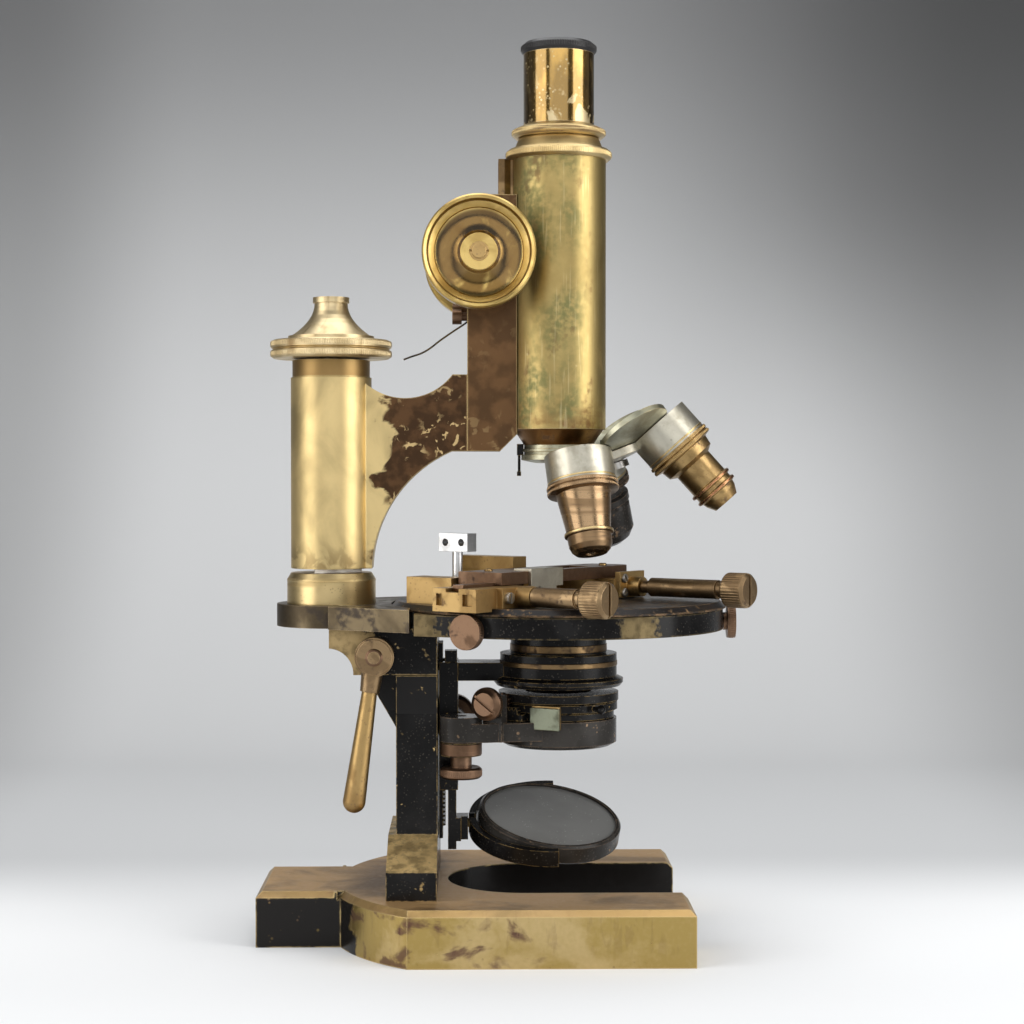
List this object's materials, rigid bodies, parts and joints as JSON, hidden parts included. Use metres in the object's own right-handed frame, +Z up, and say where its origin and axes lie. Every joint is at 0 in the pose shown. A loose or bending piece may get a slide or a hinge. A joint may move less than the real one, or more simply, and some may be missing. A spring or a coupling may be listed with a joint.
{
  "type": "monocular microscope",
  "caption": "Brass and black monocular microscope on a horseshoe foot, with an inclining limb, revolving nosepiece, mechanical stage, substage condenser and swivelling mirror.",
  "frame": {"origin": "underside of the foot, below the pillar's axis", "axes": "+Z up along the tube, +X from the pillar towards the toes of the foot, +Y away from the side that the picture shows"},
  "size_m": [0.1774, 0.1338, 0.3223],
  "materials": {
    "satin_brass": "satin, with a greenish tarnish",
    "pale_brass": "satin",
    "lacquered_brass": "glossy old lacquer",
    "patina_brass": "worn brown patina",
    "copper_brass": "satin, reddish",
    "black_lacquer": "glossy black lacquer over brass",
    "ebonite": "polished black",
    "nickel": "worn nickel plate",
    "steel": "bright steel",
    "aluminium": "satin",
    "glass": "clear",
    "mirror": "old silvering"
  },
  "bodies": {
    "base": {"foot": "patina_brass", "pillar": "black_lacquer", "pillar_bolts": "steel", "hinge_pin": "steel"},
    "limb": {"hinge_block": "black_lacquer", "limb_bracket": "patina_brass", "stage_plate": "black_lacquer", "stage_screws": "steel", "pillar_collar": "pale_brass", "prism_post": "steel", "focus_spring": "steel", "substage_rack": "black_lacquer"},
    "clamp": {"clamp_boss": "pale_brass", "clamp_handle": "copper_brass"},
    "arm": {"arm": "patina_brass", "pinion_box": "patina_brass", "guide_screws": "lacquered_brass"},
    "fine_focus": {"fine_head": "pale_brass", "fine_screw": "steel"},
    "tube": {"body_tube": "satin_brass", "tube_slide": "patina_brass", "tube_collar": "pale_brass", "nose_cone": "pale_brass", "nosepiece_cap": "nickel", "click_spring": "black_lacquer", "nosepiece_screw": "steel"},
    "coarse_focus": {"coarse_pinion": "steel", "coarse_knobs": "lacquered_brass"},
    "draw": {"draw_tube": "pale_brass"},
    "ocular": {"eyepiece": "lacquered_brass", "eyepiece_cap": "ebonite", "eyepiece_lenses": "glass"},
    "revolver": {"nosepiece_shell": "nickel", "objective_near": "copper_brass", "objective_slim": "lacquered_brass", "objective_wide": "black_lacquer"},
    "stage_ring": {"stage_disc": "black_lacquer", "stage_bed": "lacquered_brass", "bed_screws": "steel"},
    "centring_screw_near": {"centring_near": "copper_brass"},
    "centring_screw_front": {"centring_front": "copper_brass"},
    "plate": {"object_plate": "copper_brass", "plate_bracket": "nickel", "plate_carriage": "patina_brass"},
    "plate_drive": {"plate_pinion": "lacquered_brass"},
    "finger": {"finger_slide": "patina_brass", "finger_post": "aluminium"},
    "finger_drive": {"finger_screw": "lacquered_brass"},
    "substage": {"substage_carriage": "black_lacquer", "condenser": "black_lacquer", "mirror_bar": "black_lacquer"},
    "substage_drive": {"substage_pinion": "copper_brass"},
    "iris_arm": {"iris_carrier": "black_lacquer"},
    "iris_tray": {"iris_housing": "black_lacquer"},
    "iris_drive": {"iris_pinion": "copper_brass"},
    "iris_ring": {"iris_lever": "black_lacquer"},
    "swing_clamp": {"swing_screw": "copper_brass"},
    "fork": {"mirror_fork": "black_lacquer"},
    "mirror": {"mirror_frame": "black_lacquer", "mirror_glass": "mirror"}
  },
  "joints": [
    {"name": "inclination", "type": "hinge", "parent": "base", "child": "limb", "pos_m": [-0.0147, 0, 0.1025], "axis": [0, -1, 0], "range_deg": [0, 90]},
    {"name": "clamp_turn", "type": "hinge", "parent": "base", "child": "clamp", "pos_m": [-0.0147, 0, 0.1025], "axis": [0, -1, 0], "range_deg": [-35, 23]},
    {"name": "fine_focus_slide", "type": "slide", "parent": "limb", "child": "arm", "axis": [0, 0, 1], "range_m": [-0.0012, 0.0005], "deforming": ["focus_spring"]},
    {"name": "fine_focus_turn", "type": "hinge", "parent": "limb", "child": "fine_focus", "pos_m": [-0.0314, 0, 0.21], "axis": [0, 0, 1], "range_deg": [-870, 366]},
    {"name": "coarse_focus_slide", "type": "slide", "parent": "arm", "child": "tube", "axis": [0, 0, 1], "range_m": [0, 0.045]},
    {"name": "coarse_focus_turn", "type": "hinge", "parent": "arm", "child": "coarse_focus", "pos_m": [0.0221, 0, 0.2447], "axis": [0, -1, 0], "range_deg": [-1, 435]},
    {"name": "draw_tube_slide", "type": "slide", "parent": "tube", "child": "draw", "axis": [0, 0, 1], "range_m": [0, 0.05]},
    {"name": "eyepiece_slide", "type": "slide", "parent": "draw", "child": "ocular", "axis": [0, 0, 1], "range_m": [0, 0.03]},
    {"name": "nosepiece_turn", "type": "hinge", "parent": "tube", "child": "revolver", "pos_m": [0.051, 0, 0.2245], "axis": [0.3584, 0, -0.9336], "continuous": true},
    {"name": "stage_turn", "type": "hinge", "parent": "limb", "child": "stage_ring", "pos_m": [0.051, 0, 0.12], "axis": [0, 0, 1], "range_deg": [-25, 60]},
    {"name": "centring_turn_near", "type": "hinge", "parent": "limb", "child": "centring_screw_near", "pos_m": [0.051, 0, 0.1133], "axis": [-0.5299, -0.848, 0], "range_deg": [-360, 360]},
    {"name": "centring_turn_front", "type": "hinge", "parent": "limb", "child": "centring_screw_front", "pos_m": [0.051, 0, 0.1133], "axis": [0.9994, -0.0349, 0], "range_deg": [-360, 360]},
    {"name": "plate_slide", "type": "slide", "parent": "stage_ring", "child": "plate", "axis": [0.6157, 0.788, 0], "range_m": [0, 0.018]},
    {"name": "plate_knob_turn", "type": "hinge", "parent": "stage_ring", "child": "plate_drive", "pos_m": [0.02286, -0.03601, 0.1249], "axis": [-0.788, 0.6157, 0], "range_deg": [-1, 415]},
    {"name": "finger_slide", "type": "slide", "parent": "plate", "child": "finger", "axis": [0.788, -0.6157, 0], "range_m": [-0.012, 0.001]},
    {"name": "finger_knob_turn", "type": "hinge", "parent": "plate", "child": "finger_drive", "pos_m": [0.06479, 0.01765, 0.1255], "axis": [0.788, -0.6157, 0], "range_deg": [-4330, 370]},
    {"name": "substage_slide", "type": "slide", "parent": "limb", "child": "substage", "axis": [0, 0, 1], "range_m": [-0.0075, 0.0003]},
    {"name": "substage_knob_turn", "type": "hinge", "parent": "substage", "child": "substage_drive", "pos_m": [0.0126, 0, 0.076], "axis": [0, -1, 0], "range_deg": [-145, 7]},
    {"name": "iris_swing", "type": "hinge", "parent": "substage", "child": "iris_arm", "pos_m": [0.0157, -0.0182, 0.075], "axis": [0, 0, 1], "range_deg": [-80, 0]},
    {"name": "iris_tray_slide", "type": "slide", "parent": "iris_arm", "child": "iris_tray", "axis": [0.866, -0.5, 0], "range_m": [-0.003, 0.003]},
    {"name": "iris_knob_turn", "type": "hinge", "parent": "iris_arm", "child": "iris_drive", "pos_m": [0.02817, -0.01915, 0.0858], "axis": [-0.5, -0.866, 0], "range_deg": [-70, 70]},
    {"name": "iris_lever_turn", "type": "hinge", "parent": "iris_tray", "child": "iris_ring", "pos_m": [0.051, 0, 0.0832], "axis": [0, 0, 1], "range_deg": [-30, 30]},
    {"name": "swing_screw_turn", "type": "hinge", "parent": "substage", "child": "swing_clamp", "pos_m": [0.0157, -0.0182, 0.065], "axis": [0, 0, 1], "range_deg": [-90, 0]},
    {"name": "mirror_fork_turn", "type": "hinge", "parent": "substage", "child": "fork", "pos_m": [0.0186, 0, 0.0398], "axis": [1, 0, 0], "range_deg": [-86, 53]},
    {"name": "mirror_turn", "type": "hinge", "parent": "fork", "child": "mirror", "pos_m": [0.0476, 0, 0.0398], "axis": [0, 0.9588, 0.284], "continuous": true}
  ],
  "couplings": [
    {"joint": "fine_focus_turn", "follows": "fine_focus_slide", "rad_per_m": 12566},
    {"joint": "coarse_focus_turn", "follows": "coarse_focus_slide", "rad_per_m": 166.67},
    {"joint": "plate_knob_turn", "follows": "plate_slide", "rad_per_m": 400},
    {"joint": "finger_knob_turn", "follows": "finger_slide", "rad_per_m": 6283.2},
    {"joint": "substage_knob_turn", "follows": "substage_slide", "rad_per_m": 333.33},
    {"joint": "iris_knob_turn", "follows": "iris_tray_slide", "rad_per_m": 400}
  ]
}
